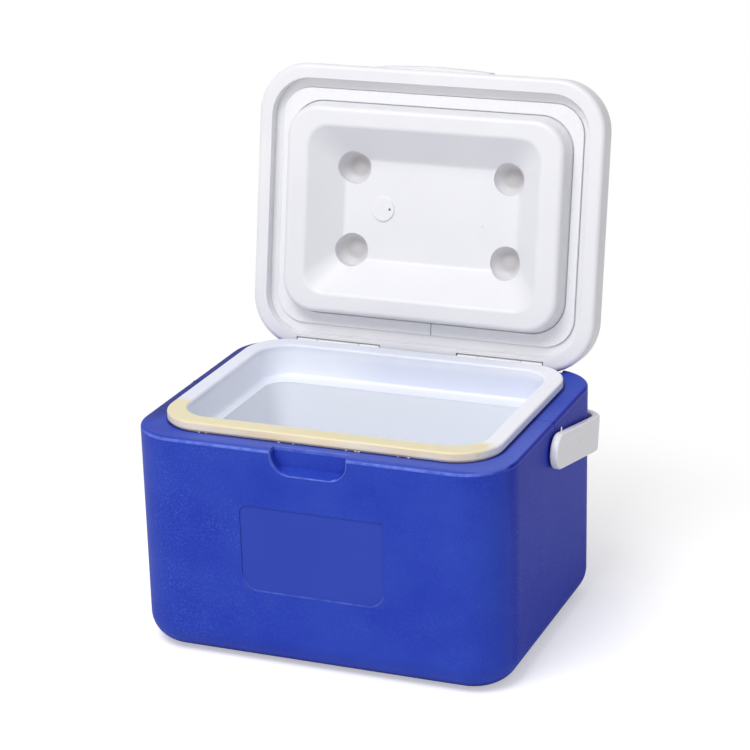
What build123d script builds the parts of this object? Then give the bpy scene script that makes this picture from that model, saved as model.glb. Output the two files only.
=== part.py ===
from build123d import *
import os
from math import radians, tan

# Insulated vaccine carrier: a blue foam-filled body with a white liner, a hinged white lid
# and a carrying bail that folds down behind the body. Millimetres, +Z up. The origin is the
# centre of the footprint on the floor, the front is -Y and the hinges are at the rear (+Y).
# The lid is drawn shut and the bail level, then each is turned to its resting place.

# ---- body shell -------------------------------------------------------------------------
body_width = 380.0
body_depth = 302.0
body_height = 225.0
body_corner = 49.0              # plan radius of the upright corners at the top
body_corner_loss = 4.0          # how much smaller that radius is at the floor
body_draft_x = 0.5              # inset of each end wall at the floor
body_draft_y = 4.0              # inset of the front and rear walls at the floor
body_foot_radius = 30.0
body_brow_radius = 3.0
body_wall = 3.0
foam_fit = 0.15                 # gap left round the foam, which shrinks as it cures
overrun = 1.0                   # how far a cut or a joined piece runs past the face it meets
clear_run = 20.0                # the same for a cut that opens a whole side
same_level = 0.01
nearly_along = 0.99             # cosine of the widest turn at which an edge still runs along an axis

# ---- front finger recess and label panel ------------------------------------------------
grip_width = 77.0
grip_drop = 24.5                # height of the recess below the flange
grip_depth = 11.5
grip_corner = 19.0
grip_floor_slope = 22.0         # degrees, the floor falls towards the front
panel_left = -72.0
panel_right = 72.5
panel_drop = 60.0               # below the flange
panel_height = 86.5
panel_sink = 0.8
panel_corner_top = 8.0
panel_corner_bottom = 17.0

# ---- liner ------------------------------------------------------------------------------
flange_margin_x = 20.0          # width of the blue flange outside the rim, at the ends
flange_margin_y = 21.0          # the same at the front and rear
rim_width_x = 17.0
rim_width_y = 19.0
rim_corner = 45.0
rim_height = 10.0
rim_edge_radius = 2.0
rim_lip_radius = 2.4
rim_undercut = 2.0              # the rim stands on a narrower foot, which leaves a shadow gap
rim_undercut_height = 2.2
rim_seat = 4.0                  # width of the flange under the rim's foot
liner_wall = 2.5
mouth_corner = 33.0
liner_ledge_drop = 33.5         # below the top of the rim
liner_ledge_width_x = 10.5
liner_ledge_width_y = 20.0
liner_ledge_radius = 3.0
tub_corner = 23.0
tub_draft = 4.0
tub_corner_loss = 2.0
tub_floor_foam = 29.0           # foam left between the liner and the floor of the shell
tub_floor_radius = 16.0

# ---- lid --------------------------------------------------------------------------------
lid_margin_x = 4.5              # from the end walls of the body to those of the lid
lid_margin_y = 3.8
lid_corner = 53.0
lid_height = 37.0
lid_gap = 1.3                   # between the shut lid and the flange
lid_draft = 2.0
lid_brow_radius = 12.0
lid_wall = 3.0
lid_rim_width = 15.0            # flat band round the underside
lid_edge_radius = 5.0           # outer edge of the underside
lid_groove_radius = 1.6
lid_groove_ease = 3.0           # the groove's corners are this much fuller than the rim's
thumb_lip_width = 120.0
thumb_lip_reach = 2.6
thumb_lip_low = 7.0
thumb_lip_high = 24.0
lid_liner_wall = 2.5
seam_inset_x = 9.0              # from the groove's outer wall to the lid liner's edge
seam_inset_y = 10.0
seam_gap = 0.3
liner_land = 6.0                # width of the shoulder that the lid liner is bonded to
plug_gap = 1.4                  # between the plug and the mouth of the liner
plug_draft = 4.0
plug_corner_loss = 2.0
plug_corner_ease = 2.0          # the plug's corners are this much fuller than the mouth's
plug_reach = 12.0               # below the lid's rim
plug_edge_radius = 6.0
dish_land_x = 26.6              # from the plug's side to the mouth of its dish
dish_land_y = 23.1
dish_corner = 22.0
dish_slope_x = 31.0             # run of the dish's sloping sides
dish_slope_y = 35.0
dish_floor_corner = 14.0
dish_floor_level = 20.0         # above the lid's rim
dish_mouth_radius = 6.0
dish_floor_radius = 6.0
pocket_inset_x = 10.5           # from the edges of the dish's floor to the pockets' axes
pocket_inset_y = 9.0
pocket_radius = 17.0
pocket_floor_radius = 10.0
pocket_lead = 9.0               # the pockets start this far up the dish's sloping sides
seal_thickness = 3.0
seal_fit = 0.3
seal_edge_radius = 0.8
seal_squeeze_gap = 0.3          # between the seal and the liner's rim with the lid shut
fill_cap_x = -52.0
fill_cap_y = -2.0
fill_cap_radius = 12.5
fill_cap_thickness = 1.6
fill_cap_spigot = 8.0
fill_cap_grip = 3.0             # of the spigot beyond the wall it snaps into
fill_cap_edge_radius = 0.5
fill_cap_vent_offset = 8.0
fill_cap_vent_radius = 1.3
cap_fit = 0.15                  # round the spigots and discs of the caps

# ---- hinges -----------------------------------------------------------------------------
hinge_rise = 4.7                # pin above the flange
hinge_setback = 10.9            # pin in front of the rear wall
hinge_end_distance = 102.0      # from the end walls to the middles of the hinges
notch_width = 92.6
notch_depth = 11.5
notch_height = 18.0
pin_radius = 2.0
pin_fit = 0.05
pin_chamfer = 0.3
barrel_radius = 3.9
knuckle_width = 45.0
knuckle_side_gap = 0.5
knuckle_seat_gap = 0.15
hinge_ledge_drop = 4.0
hinge_ledge_front = 16.4        # from the rear wall to the front of the hinge ledge
hinge_ledge_end = 37.0          # from the end walls to the ends of the hinge ledge
bracket_plate = 2.3
bracket_corner = 2.0
bracket_margin = 1.0
bracket_web_inset = 0.8         # the webs are this much thinner each side than the barrels
bracket_screw_x = 14.0
bracket_screw_setback = 2.0     # behind the middle of the hinge ledge
bracket_screw_length = 12.0
knuckle_screw_x = 13.0
knuckle_screw_length = 17.0
knuckle_screw_level = 14.3      # above the lid's rim
screw_radius = 1.75
screw_head_radius = 3.4
screw_head_height = 1.7
screw_head_fit = 0.1
screw_head_edge = 0.4
screw_tip_length = 1.5
screw_tip_radius = 0.4
screw_drive_half = 2.0
screw_drive_slot = 0.4
screw_drive_depth = 1.1
screw_boss_wall = 2.6
lid_open_angle = 99.85

# ---- carrying bail ----------------------------------------------------------------------
pivot_drop = 27.7               # below the flange
bail_gap = 1.3                  # between each arm and the end wall
bail_thickness = 8.2
bail_height = 35.0
bail_rear_gap = 14.7            # from the rear wall to the outer face of the crossbar
bail_bend = 55.0                # outer radius of the bends
bail_edge_radius = 2.2
bail_rest_angle = 11.5          # below level
bail_pin_radius = 4.0
bail_pin_socket = 5.4
bush_radius = 8.0
bush_length = 22.0
bush_flange_radius = 13.0
bush_flange_thickness = 2.5
bush_bore_length = 14.0
bush_chamber_radius = 7.0
bush_end_wall = 2.0
bush_recess = 0.2               # below the face of the end wall
bail_pin_end_gap = 1.0          # between the pin and the closed end of its bush
clip_radius = 6.2
clip_thickness = 1.2
clip_offset = 1.5               # from the end of the pin
clip_groove = 0.8
clip_play = 0.1
clip_mouth_half = 1.6
base_cap_radius = 14.0
base_cap_thickness = 1.6
base_cap_spigot = 9.0
base_cap_grip = 4.5             # of the spigot beyond the wall it snaps into
base_cap_sink = 0.3             # above the floor
base_cap_x = 95.0

# ---- places that follow from the sizes above ---------------------------------------------
pivot_height = body_height - pivot_drop
panel_top = body_height - panel_drop
panel_bottom = panel_top - panel_height
rim_half_x = body_width / 2 - flange_margin_x
rim_half_y = body_depth / 2 - flange_margin_y
mouth_half_x = rim_half_x - rim_width_x
mouth_half_y = rim_half_y - rim_width_y
rim_core_inset = rim_undercut + rim_seat
rim_top = body_height + rim_height
ledge_level = rim_top - liner_ledge_drop
tub_floor = body_wall + tub_floor_foam + liner_wall
lid_width = body_width - 2 * lid_margin_x
lid_depth = body_depth - 2 * lid_margin_y
lid_low = body_height + lid_gap
lid_top = lid_low + lid_height
hinge_x = body_width / 2 - hinge_end_distance
hinge_y = body_depth / 2 - hinge_setback
hinge_ledge_half = body_width / 2 - hinge_ledge_end
hinge_z = body_height + hinge_rise
groove_level = rim_top + seal_squeeze_gap + seal_thickness
flange_level = groove_level + lid_liner_wall
floor_level = flange_level + lid_wall
plug_low = lid_low - plug_reach
dish_level = lid_low + dish_floor_level
pocket_mouth_level = dish_level - pocket_lead
pocket_level = lid_top - lid_wall - lid_liner_wall
fill_cap_top = dish_level + lid_liner_wall + fill_cap_grip
base_cap_top = body_wall + base_cap_grip
notch_front = lid_depth / 2 - notch_depth
notch_top = lid_low + notch_height
knuckle_front = notch_front + knuckle_seat_gap
knuckle_rear = hinge_y + barrel_radius
hinge_ledge_level = body_height - hinge_ledge_drop
bail_inner_x = body_width / 2 + bail_gap
bail_outer_x = bail_inner_x + bail_thickness
bail_reach = body_depth / 2 + bail_rear_gap
bush_inner_x = body_width / 2 - bush_length
bail_pin_end_x = bush_inner_x + bush_end_wall + bail_pin_end_gap
bracket_half = notch_width / 2 - bracket_margin
bracket_screw_y = body_depth / 2 - hinge_ledge_front / 2 + bracket_screw_setback
sides = {"left": -1, "right": 1}

# Each plan is a rounded rectangle about the origin: half width, half depth, corner radius.
body_plan = (body_width / 2, body_depth / 2, body_corner)
body_foot_plan = (body_width / 2 - body_draft_x, body_depth / 2 - body_draft_y,
                  body_corner - body_corner_loss)
rim_plan = (rim_half_x, rim_half_y, rim_corner)
mouth_plan = (mouth_half_x, mouth_half_y, mouth_corner)
tub_plan = (mouth_half_x - liner_ledge_width_x, mouth_half_y - liner_ledge_width_y, tub_corner)
tub_floor_plan = (tub_plan[0] - tub_draft, tub_plan[1] - tub_draft, tub_corner - tub_corner_loss)
lid_plan = (lid_width / 2, lid_depth / 2, lid_corner)
lid_top_plan = (lid_width / 2 - lid_draft, lid_depth / 2 - lid_draft, lid_corner - lid_draft)
groove_plan = (lid_width / 2 - lid_rim_width, lid_depth / 2 - lid_rim_width,
               lid_corner - lid_rim_width + lid_groove_ease)
seam_plan = (groove_plan[0] - seam_inset_x, groove_plan[1] - seam_inset_y, groove_plan[2] - seam_inset_y)
plug_plan = (mouth_half_x - plug_gap, mouth_half_y - plug_gap, mouth_corner + plug_corner_ease)
plug_low_plan = (plug_plan[0] - plug_draft, plug_plan[1] - plug_draft, plug_plan[2] - plug_corner_loss)
dish_plan = (plug_plan[0] - dish_land_x, plug_plan[1] - dish_land_y, dish_corner)
dish_floor_plan = (dish_plan[0] - dish_slope_x, dish_plan[1] - dish_slope_y, dish_floor_corner)

hinge_axis = Axis((0, hinge_y, hinge_z), (1, 0, 0))
pivot_axis = Axis((0, 0, pivot_height), (1, 0, 0))


def rounded_plate(plan, grow, level):
    half_x, half_y, corner = plan
    return Plane.XY.offset(level) * RectangleRounded(2 * (half_x + grow), 2 * (half_y + grow), corner + grow)


def rounded_block(plan, grow, low, high):
    return extrude(rounded_plate(plan, grow, low), high - low)


def tapered_block(low_plan, high_plan, grow, low, high):
    return loft([rounded_plate(low_plan, grow, low), rounded_plate(high_plan, grow, high)])


def end_edges(solid, level):
    return solid.edges().filter_by_position(Axis.Z, level - same_level, level + same_level)


def is_within(edge, half_x, half_y):
    middle = edge.center()
    return abs(middle.X) < half_x + same_level and abs(middle.Y) < half_y + same_level


def rod(x, y, radius, low, high):
    return Pos(x, y, low) * Cylinder(radius, high - low, align=(Align.CENTER, Align.CENTER, Align.MIN))


def rod_x(radius, x_from, x_to, y, z):
    low, high = min(x_from, x_to), max(x_from, x_to)
    standing = Cylinder(radius, high - low, align=(Align.CENTER, Align.CENTER, Align.MIN))
    return Pos(low, y, z) * Rot(0, 90, 0) * standing


def rod_y(radius, y_from, y_to, x, z):
    standing = Cylinder(radius, y_to - y_from, align=(Align.CENTER, Align.CENTER, Align.MIN))
    return Pos(x, y_from, z) * Rot(-90, 0, 0) * standing


def box(x_low, x_high, y_low, y_high, z_low, z_high):
    size = (x_high - x_low, y_high - y_low, z_high - z_low)
    return Pos(x_low, y_low, z_low) * Box(*size, align=(Align.MIN, Align.MIN, Align.MIN))


# ---- body -------------------------------------------------------------------------------
def body_block(inset):
    block = tapered_block(body_foot_plan, body_plan, -inset, inset, body_height - inset)
    block = fillet(end_edges(block, inset), body_foot_radius - inset)
    if inset == 0:
        block = fillet(end_edges(block, body_height), body_brow_radius)
    return block


def grip_cut(grow):
    """The finger recess, open at the front and at the flange."""
    half = grip_width / 2 + grow
    low = body_height - grip_drop - grow
    high = body_height + clear_run
    outline = make_face(Polyline((-half, high), (-half, low), (half, low), (half, high), close=True))
    outline = fillet(outline.vertices().group_by(Axis.Y)[0], grip_corner + grow)
    back = -body_depth / 2 + grip_depth + grow
    scoop = extrude(Plane.XZ.offset(-back) * outline, body_depth / 2)
    slope = tan(radians(grip_floor_slope))
    ramp_top = low + grip_depth * slope
    front = back - grip_depth - clear_run
    ramp = make_face(Polyline((back, ramp_top), (front, ramp_top + (front - back) * slope),
                              (front, low - clear_run), (back, low - clear_run), close=True))
    return scoop - extrude(Plane.YZ * ramp, body_width / 2, both=True)


def hinge_ledge_cut(grow):
    half = hinge_ledge_half + grow
    front = body_depth / 2 - hinge_ledge_front - grow
    level = hinge_ledge_level - grow
    return box(-half, half, front, body_depth / 2 + clear_run, level, body_height + clear_run)


def panel_cut():
    centre = ((panel_left + panel_right) / 2, (panel_bottom + panel_top) / 2)
    outline = Pos(*centre) * Rectangle(panel_right - panel_left, panel_top - panel_bottom)
    outline = fillet(outline.vertices().group_by(Axis.Y)[0], panel_corner_bottom)
    outline = fillet(outline.vertices().group_by(Axis.Y)[-1].group_by(Axis.X)[0], panel_corner_top)
    prism = extrude(Plane.XZ * outline, body_depth)
    return prism - body_block(panel_sink)


def bracket_screw_places(side):
    return [(side * hinge_x + step * bracket_screw_x, bracket_screw_y) for step in (-1, 1)]


def screw_bosses():
    """Solid bosses under the hinge ledge that the bracket screws bite into."""
    bosses = []
    low = hinge_ledge_level - bracket_screw_length - screw_boss_wall
    for side in sides.values():
        for x, y in bracket_screw_places(side):
            bosses.append(rod(x, y, screw_radius + screw_boss_wall, low, hinge_ledge_level - overrun))
    return bosses


def bush_envelope(side, grow):
    outside = side * body_width / 2
    near = side * (body_width / 2 - body_wall - foam_fit)
    barrel = rod_x(bush_radius + grow, outside, side * (bush_inner_x - grow), 0, pivot_height)
    far = near - side * (bush_flange_thickness + grow)
    flange = rod_x(bush_flange_radius + grow, near, far, 0, pivot_height)
    return barrel + flange


def body_shell():
    outside = body_block(0) - grip_cut(0) - hinge_ledge_cut(0) - panel_cut()
    inside = body_block(body_wall) - grip_cut(body_wall) - hinge_ledge_cut(body_wall)
    shell = outside - inside
    mouth = rounded_block(rim_plan, -rim_core_inset, ledge_level, body_height + overrun)
    shell = shell - mouth
    shell = shell + screw_bosses()
    for side in sides.values():
        shell = shell - rod_x(bush_radius, side * bush_inner_x, side * body_width, 0, pivot_height)
        for x, y in bracket_screw_places(side):
            shell = shell - rod(x, y, screw_radius, hinge_ledge_level - bracket_screw_length, body_height)
    shell = shell - rod(base_cap_x, 0, base_cap_spigot, -overrun, base_cap_top)
    return shell - rod(base_cap_x, 0, base_cap_radius, -overrun, base_cap_thickness)


def body_foam():
    foam = body_block(body_wall + foam_fit)
    foam = foam - grip_cut(body_wall + foam_fit) - hinge_ledge_cut(body_wall + foam_fit)
    rim_core = rounded_block(rim_plan, -rim_core_inset - foam_fit, body_height - 2 * body_wall,
                             rim_top - liner_wall - foam_fit)
    foam = foam + rim_core - liner_cavity(liner_wall + foam_fit)
    for boss in screw_bosses():
        foam = foam - offset(boss, foam_fit)
    for side in sides.values():
        foam = foam - bush_envelope(side, foam_fit)
    return foam - rod(base_cap_x, 0, base_cap_spigot + foam_fit, -overrun, base_cap_top + foam_fit)


def base_cap():
    """Snap-in cap over the hole that the foam was poured through."""
    disc = rod(base_cap_x, 0, base_cap_radius - cap_fit, base_cap_sink, base_cap_thickness)
    spigot = rod(base_cap_x, 0, base_cap_spigot - cap_fit, base_cap_sink, base_cap_top)
    return disc + spigot


# ---- liner ------------------------------------------------------------------------------
def liner_cavity(grow):
    """The space inside the liner, grown outwards by a wall for its outside."""
    upper = rounded_block(mouth_plan, grow, ledge_level - grow, rim_top + clear_run)
    upper = fillet(end_edges(upper, ledge_level - grow), liner_ledge_radius + grow)
    lower = tapered_block(tub_floor_plan, tub_plan, grow, tub_floor - grow, ledge_level + overrun)
    lower = fillet(end_edges(lower, tub_floor - grow), tub_floor_radius + grow)
    return upper + lower


def liner():
    foot_level = body_height + rim_undercut_height
    rim = rounded_block(rim_plan, 0, foot_level, rim_top)
    rim = fillet(end_edges(rim, rim_top), rim_edge_radius)
    foot = rounded_block(rim_plan, -rim_undercut, body_height, foot_level)
    core = rounded_block(rim_plan, -rim_core_inset, body_height - overrun, rim_top - liner_wall)
    outside = (rim + foot - core) + (liner_cavity(liner_wall) & rounded_block(rim_plan, 0, 0, rim_top))
    tub = outside - liner_cavity(0)
    mouth = [edge for edge in end_edges(tub, rim_top) if is_within(edge, mouth_half_x, mouth_half_y)]
    return fillet(mouth, rim_lip_radius)


# ---- lid, drawn shut --------------------------------------------------------------------
def lid_block(inset):
    block = tapered_block(lid_plan, lid_top_plan, -inset, lid_low + inset, lid_top - inset)
    return fillet(end_edges(block, lid_top - inset), lid_brow_radius - inset)


def thumb_lip():
    half = thumb_lip_width / 2
    radius = (half ** 2 + thumb_lip_reach ** 2) / (2 * thumb_lip_reach)
    front = -lid_depth / 2 - thumb_lip_reach
    disc = rod(0, front + radius, radius, lid_low + thumb_lip_low, lid_low + thumb_lip_high)
    return disc & box(-half, half, front, -lid_depth / 2 + lid_draft + overrun, lid_low, lid_top)


def notch_cut(side, grow):
    half = notch_width / 2 + grow
    middle = side * hinge_x
    return box(middle - half, middle + half, notch_front - grow, lid_depth / 2 + clear_run,
               lid_low - clear_run, notch_top + grow)


def knuckle_screw_places(side):
    return [side * hinge_x + step * knuckle_screw_x for step in (-1, 1)]


def lid_shell():
    cavity = lid_block(lid_wall)
    cavity = cavity - rounded_block(groove_plan, lid_wall, lid_low, floor_level)
    for side in sides.values():
        cavity = cavity - notch_cut(side, lid_wall)
    shell = lid_block(0) + thumb_lip() - cavity
    shell = shell - rounded_block(groove_plan, 0, lid_low - overrun, groove_level)
    shell = shell - rounded_block(seam_plan, 0, lid_low, flange_level)
    shell = shell - rounded_block(seam_plan, -liner_land, lid_low, floor_level + overrun)
    low_edges = end_edges(shell, lid_low)
    groove_edges = [edge for edge in low_edges if is_within(edge, groove_plan[0], groove_plan[1])]
    outer_edges = [edge for edge in low_edges if not is_within(edge, groove_plan[0], groove_plan[1])]
    shell = fillet(groove_edges, lid_groove_radius)
    shell = fillet(outer_edges, lid_edge_radius)
    for side in sides.values():
        shell = shell - notch_cut(side, 0)
        for x in knuckle_screw_places(side):
            shell = shell - rod_y(screw_radius, knuckle_rear - knuckle_screw_length, lid_depth / 2,
                                  x, lid_low + knuckle_screw_level)
    return shell


def plug_block(inset, high):
    block = tapered_block(plug_low_plan, plug_plan, -inset, plug_low + inset, high)
    return fillet(end_edges(block, plug_low + inset), plug_edge_radius - inset)


def dish_block(grow):
    """The dished recess in the underside of the plug."""
    block = tapered_block(dish_plan, dish_floor_plan, grow, plug_low, dish_level + grow)
    return fillet(end_edges(block, dish_level + grow), dish_floor_radius + grow)


def upper_dish(grow):
    """The part of the dish that lies above the plug's open ring."""
    above = box(-lid_width, lid_width, -lid_depth, lid_depth, groove_level - overrun, lid_top)
    return dish_block(grow) & above


def pockets(grow):
    """Four round-bottomed tack-off pockets that reach up to the lid's top wall."""
    pocket_x = dish_floor_plan[0] - pocket_inset_x
    pocket_y = dish_floor_plan[1] - pocket_inset_y
    high = pocket_level + grow
    cup = rod(0, 0, pocket_radius + grow, pocket_mouth_level, high)
    cup = fillet(end_edges(cup, high), pocket_floor_radius + grow)
    return [Pos(x, y, 0) * cup for x in (-pocket_x, pocket_x) for y in (-pocket_y, pocket_y)]


def dished_plug(inset, high):
    """The plug with its dish taken out, its lower corners rounded."""
    plug = plug_block(inset, high) - dish_block(inset)
    mouth = [edge for edge in end_edges(plug, plug_low + inset)
             if is_within(edge, dish_plan[0] + inset, dish_plan[1] + inset)]
    return fillet(mouth, dish_mouth_radius - inset)


def lid_liner():
    flange = rounded_block(seam_plan, -seam_gap, groove_level, flange_level)
    inside = dished_plug(lid_liner_wall, flange_level + overrun)
    skin = dished_plug(0, flange_level) + flange + upper_dish(lid_liner_wall) - inside
    for pocket in pockets(lid_liner_wall):
        skin = skin + pocket
    for hollow in [upper_dish(0)] + pockets(0):
        skin = skin - hollow
    return skin - rod(fill_cap_x, fill_cap_y, fill_cap_spigot + cap_fit, dish_level - overrun, lid_top)


def lid_foam():
    foam = lid_block(lid_wall + foam_fit)
    grow = lid_wall + foam_fit
    foam = foam - rounded_block(groove_plan, grow, lid_low, floor_level + foam_fit)
    for side in sides.values():
        foam = foam - notch_cut(side, grow)
    core = rounded_block(seam_plan, -liner_land - foam_fit, flange_level + foam_fit, floor_level + overrun)
    foam = foam + core + dished_plug(lid_liner_wall + foam_fit, flange_level + overrun)
    foam = foam - upper_dish(lid_liner_wall + foam_fit)
    for pocket in pockets(lid_liner_wall + foam_fit):
        foam = foam - pocket
    cap_hole = rod(fill_cap_x, fill_cap_y, fill_cap_spigot + foam_fit, dish_level, fill_cap_top + foam_fit)
    return foam - cap_hole


def lid_seal():
    """Flat ring on the lid liner's flange that the top of the rim shuts against."""
    low = groove_level - seal_thickness
    ring = rounded_block(seam_plan, -seal_fit, low, groove_level)
    hole = rounded_block(plug_plan, seal_fit, low, groove_level)
    ring = ring - hole
    return fillet(end_edges(ring, low), seal_edge_radius)


def fill_cap():
    """Snap-in cap over the lid's foam filling hole, with its vent hole off centre."""
    face = dish_level - fill_cap_thickness
    disc = rod(fill_cap_x, fill_cap_y, fill_cap_radius, face, dish_level)
    spigot = rod(fill_cap_x, fill_cap_y, fill_cap_spigot, dish_level, fill_cap_top)
    cap = fillet(end_edges(disc, face), fill_cap_edge_radius) + spigot
    vent_x = fill_cap_x + fill_cap_vent_offset
    return cap - rod(vent_x, fill_cap_y, fill_cap_vent_radius, face - overrun, lid_top)


# ---- hinges -----------------------------------------------------------------------------
def hinge_bore(side, radius):
    middle = side * hinge_x
    return rod_x(radius, middle - bracket_half, middle + bracket_half, hinge_y, hinge_z)


def hinge_bracket(side):
    middle = side * hinge_x
    rear = body_depth / 2 - bracket_margin
    front = body_depth / 2 - hinge_ledge_front + bracket_margin
    top = hinge_ledge_level + bracket_plate
    plate = box(middle - bracket_half, middle + bracket_half, front, rear, hinge_ledge_level, top)
    bracket = fillet(plate.edges().filter_by(Axis.Z), bracket_corner)
    web_half = barrel_radius - bracket_web_inset
    for step in (-1, 1):
        outer = middle + step * bracket_half
        inner = middle + step * (knuckle_width / 2 + knuckle_side_gap)
        barrel = rod_x(barrel_radius, inner, outer, hinge_y, hinge_z)
        web = box(min(inner, outer), max(inner, outer), hinge_y - web_half, hinge_y + web_half,
                  top - overrun, hinge_z)
        bracket = bracket + barrel + web
    bracket = bracket - hinge_bore(side, pin_radius)
    for x, y in bracket_screw_places(side):
        bracket = bracket - rod(x, y, screw_radius, hinge_ledge_level - overrun, top + overrun)
        bracket = bracket - rod(x, y, screw_head_radius, top - screw_head_height, top + overrun)
    return bracket


def hinge_knuckle(side):
    """The lid's half of the hinge: a block in the notch with the middle barrel below it."""
    middle = side * hinge_x
    half = knuckle_width / 2
    low = hinge_z + barrel_radius
    block = box(middle - half, middle + half, knuckle_front, knuckle_rear, low, notch_top - knuckle_seat_gap)
    web = box(middle - half, middle + half, knuckle_front, knuckle_rear, hinge_z, low)
    barrel = rod_x(barrel_radius, middle - half, middle + half, hinge_y, hinge_z)
    knuckle = block + web + barrel
    knuckle = knuckle - hinge_bore(side, pin_radius + pin_fit)
    level = lid_low + knuckle_screw_level
    for x in knuckle_screw_places(side):
        knuckle = knuckle - rod_y(screw_radius, knuckle_front - overrun, lid_depth, x, level)
        knuckle = knuckle - rod_y(screw_head_radius, knuckle_rear - screw_head_height, lid_depth, x, level)
    return knuckle


def hinge_pin(side):
    return chamfer(hinge_bore(side, pin_radius).edges(), pin_chamfer)


def screw(length):
    """Self-tapping screw along -Z from a flat head that lies just below the origin, with a cross recess."""
    head_top = -screw_head_fit
    head = rod(0, 0, screw_head_radius - screw_head_fit, -screw_head_height, head_top)
    head = fillet(end_edges(head, head_top), screw_head_edge)
    shank = rod(0, 0, screw_radius, screw_tip_length - length, -screw_head_height)
    tip = Pos(0, 0, -length) * Cone(screw_tip_radius, screw_radius, screw_tip_length,
                                    align=(Align.CENTER, Align.CENTER, Align.MIN))
    drive = box(-screw_drive_half, screw_drive_half, -screw_drive_slot, screw_drive_slot,
                -screw_drive_depth, 0)
    return head + shank + tip - drive - Rot(0, 0, 90) * drive


def bracket_screws(side):
    top = hinge_ledge_level + bracket_plate
    return [Pos(x, y, top) * screw(bracket_screw_length) for x, y in bracket_screw_places(side)]


def knuckle_screws(side):
    turn = Rot(-90, 0, 0)
    return [Pos(x, knuckle_rear, lid_low + knuckle_screw_level) * turn * screw(knuckle_screw_length)
            for x in knuckle_screw_places(side)]


# ---- carrying bail, drawn level ---------------------------------------------------------
def bail():
    outline = make_face(Polyline((-bail_outer_x, 0), (-bail_outer_x, bail_reach), (bail_outer_x, bail_reach),
                                 (bail_outer_x, 0), close=True))
    outline = fillet(outline.vertices().group_by(Axis.Y)[-1], bail_bend)
    inner_reach = bail_reach - bail_thickness
    hollow = make_face(Polyline((-bail_inner_x, -overrun), (-bail_inner_x, inner_reach),
                                (bail_inner_x, inner_reach), (bail_inner_x, -overrun), close=True))
    hollow = fillet(hollow.vertices().group_by(Axis.Y)[-1], bail_bend - bail_thickness)
    strap = extrude(Plane.XY.offset(pivot_height) * (outline - hollow), bail_height / 2, both=True)
    for side in sides.values():
        strap = strap + rod_x(bail_height / 2, side * bail_inner_x, side * bail_outer_x, 0, pivot_height)
    strap = fillet(strap.edges().filter_by(lambda edge: not on_seam(edge)), bail_edge_radius)
    for side in sides.values():
        socket_end = side * (bail_inner_x + bail_pin_socket)
        strap = strap - rod_x(bail_pin_radius, side * body_width / 2, socket_end, 0, pivot_height)
    return strap


def on_seam(edge):
    """Edges inside a face that carry no corner: where an arc meets a straight run."""
    upright = abs(edge.tangent_at(0.5).Z) > nearly_along and edge.geom_type == GeomType.LINE
    across = abs(edge.tangent_at(0.5).X) > nearly_along and edge.length < bail_thickness + same_level
    return upright or across


def clip_groove_at(side, radius):
    """A disc of the given radius at the groove near the pin's inner end."""
    near = side * (bail_pin_end_x + clip_offset)
    return rod_x(radius, near, near + side * clip_thickness, 0, pivot_height)


def bail_pin(side):
    start = side * (bail_inner_x + bail_pin_socket)
    pin = rod_x(bail_pin_radius, start, side * bail_pin_end_x, 0, pivot_height)
    core = clip_groove_at(side, bail_pin_radius - clip_groove)
    return pin - (clip_groove_at(side, bail_pin_radius + overrun) - core)


def pin_clip(side):
    """Open ring snapped into the pin's groove."""
    near = side * (bail_pin_end_x + clip_offset + clip_play)
    far = near + side * (clip_thickness - 2 * clip_play)
    ring = rod_x(clip_radius, near, far, 0, pivot_height)
    ring = ring - clip_groove_at(side, bail_pin_radius - clip_groove + pin_fit)
    low = pivot_height - clip_radius
    return ring - box(-body_width, body_width, -clip_mouth_half, clip_mouth_half, low, pivot_height)


def pivot_bush(side):
    """Closed bush in the end wall: a bore for the pin, then a chamber for its clip."""
    outside = side * (body_width / 2 - bush_recess)
    envelope = bush_envelope(side, 0) & rod_x(bush_flange_radius + overrun, 0, outside, 0, pivot_height)
    bore_end = side * (body_width / 2 - bush_bore_length)
    bore = rod_x(bail_pin_radius + pin_fit, side * body_width / 2, bore_end, 0, pivot_height)
    chamber = rod_x(bush_chamber_radius, bore_end, side * (bush_inner_x + bush_end_wall), 0, pivot_height)
    return envelope - bore - chamber


# ---- write every node -------------------------------------------------------------------
def save(name, shape, turn=None):
    shape = shape if isinstance(shape, list) else [shape]
    solids = [solid for item in shape for solid in item.solids()]
    if turn:
        solids = [solid.rotate(*turn) for solid in solids]
    export_step(Compound(children=solids), f"parts/{name}.step")


def main():
    os.makedirs("parts", exist_ok=True)
    lid_turn = (hinge_axis, -lid_open_angle)
    bail_turn = (pivot_axis, -bail_rest_angle)
    save("body_shell", body_shell())
    save("body_foam", body_foam())
    save("base_fill_cap", base_cap())
    save("liner", liner())
    save("lid_shell", lid_shell(), lid_turn)
    save("lid_liner", lid_liner(), lid_turn)
    save("lid_foam", lid_foam(), lid_turn)
    save("lid_seal", lid_seal(), lid_turn)
    save("lid_fill_cap", fill_cap(), lid_turn)
    save("carry_handle", bail(), bail_turn)
    for name, side in sides.items():
        save(f"hinge_bracket_{name}", hinge_bracket(side))
        save(f"bracket_screws_{name}", bracket_screws(side))
        save(f"hinge_pin_{name}", hinge_pin(side))
        save(f"hinge_knuckle_{name}", hinge_knuckle(side), lid_turn)
        save(f"knuckle_screws_{name}", knuckle_screws(side), lid_turn)
        save(f"pivot_bush_{name}", pivot_bush(side))
        save(f"handle_pin_{name}", bail_pin(side), bail_turn)
        save(f"pin_clip_{name}", pin_clip(side), bail_turn)


main()
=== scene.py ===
import math

import bmesh
import bpy
from mathutils import Matrix, Vector


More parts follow.
